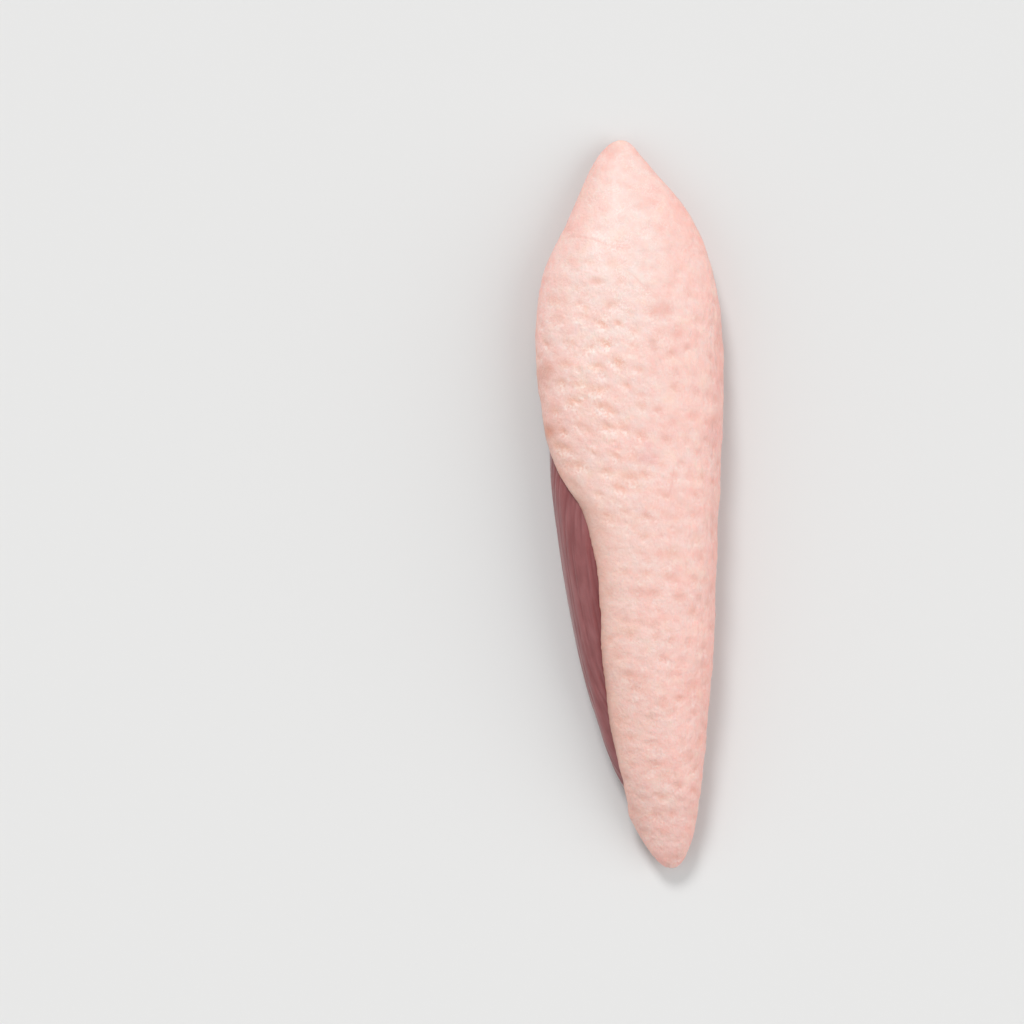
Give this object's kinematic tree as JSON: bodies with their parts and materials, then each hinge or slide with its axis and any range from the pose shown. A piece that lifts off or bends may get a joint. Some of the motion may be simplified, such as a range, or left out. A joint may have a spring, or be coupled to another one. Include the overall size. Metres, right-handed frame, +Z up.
{
  "type": "duck breast fillet",
  "caption": "Raw duck breast fillet: a long leaf-shaped cut of dark red muscle under a cap of pale pink dimpled skin and fat, lying on its lean side.",
  "frame": {"origin": "on the resting plane, under the middle of the fillet's box", "axes": "+Z up through the skin side, +Y along the fillet towards its pointed tip, +X towards the thick full flank; the muscle's bare crescent is on the -X side"},
  "size_m": [0.0501, 0.194, 0.0249],
  "materials": {
    "skin": "raw poultry skin over white fat: pale pink, finely dimpled by the feather follicles, moist satin sheen",
    "meat": "raw lean muscle: dark purplish red, grain along its length, thin silvery membrane, moist"
  },
  "bodies": {
    "root": {"skin_fat": "skin", "lean_meat": "meat"}
  },
  "joints": []
}
